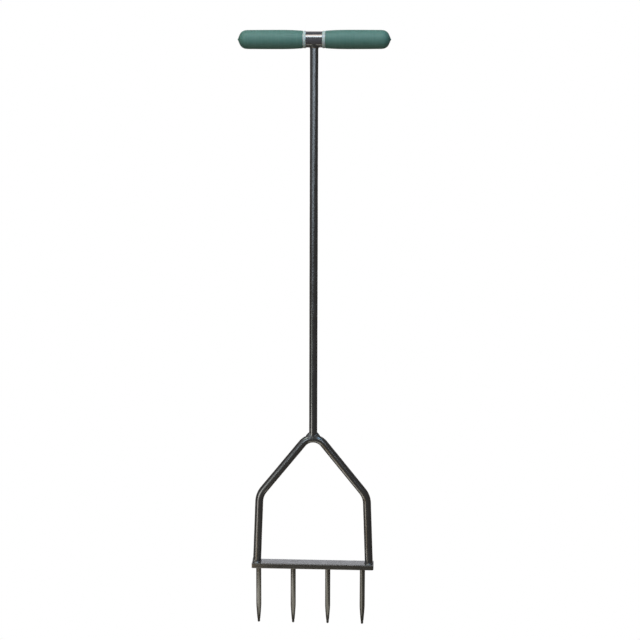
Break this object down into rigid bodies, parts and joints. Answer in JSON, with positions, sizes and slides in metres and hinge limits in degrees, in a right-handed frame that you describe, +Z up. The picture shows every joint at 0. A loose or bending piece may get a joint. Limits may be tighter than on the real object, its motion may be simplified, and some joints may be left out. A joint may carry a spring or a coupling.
{
  "type": "lawn aerator fork",
  "caption": "Welded steel lawn aerator with a T handle and soft grips, a straight shaft, a bent yoke, a flat foot bar and tapered spikes under it.",
  "frame": {"origin": "on the ground under the shaft's axis, level with the points of the spikes; middle of the handle in X and of the foot bar in Y", "axes": "+Z up along the shaft towards the handle; +X along the handle and the foot bar, towards grip_right; the user stands at -Y"},
  "size_m": [0.2338, 0.0288, 0.94],
  "materials": {
    "dark_coat": "semi-gloss hammertone powder coat, charcoal",
    "handle_coat": "glossy smooth coat, charcoal",
    "tine_coat": "semi-gloss coat, lightly worn at the points",
    "weld_coat": "coated weld bead, rippled",
    "green_grip": "matte soft-touch, fine moulded grain",
    "pale_collar": "matte, slightly translucent"
  },
  "bodies": {
    "root": {"handle_tube": "handle_coat", "grip_left": "green_grip", "grip_right": "green_grip", "grip_collar_left": "pale_collar", "grip_collar_right": "pale_collar", "shaft": "dark_coat", "yoke": "dark_coat", "foot_bar": "dark_coat", "handle_weld": "weld_coat", "yoke_weld": "weld_coat", "leg_weld_left": "weld_coat", "leg_weld_right": "weld_coat", "tine_1": "tine_coat", "tine_2": "tine_coat", "tine_3": "tine_coat", "tine_4": "tine_coat", "tine_weld_1": "weld_coat", "tine_weld_2": "weld_coat", "tine_weld_3": "weld_coat", "tine_weld_4": "weld_coat"}
  },
  "joints": []
}
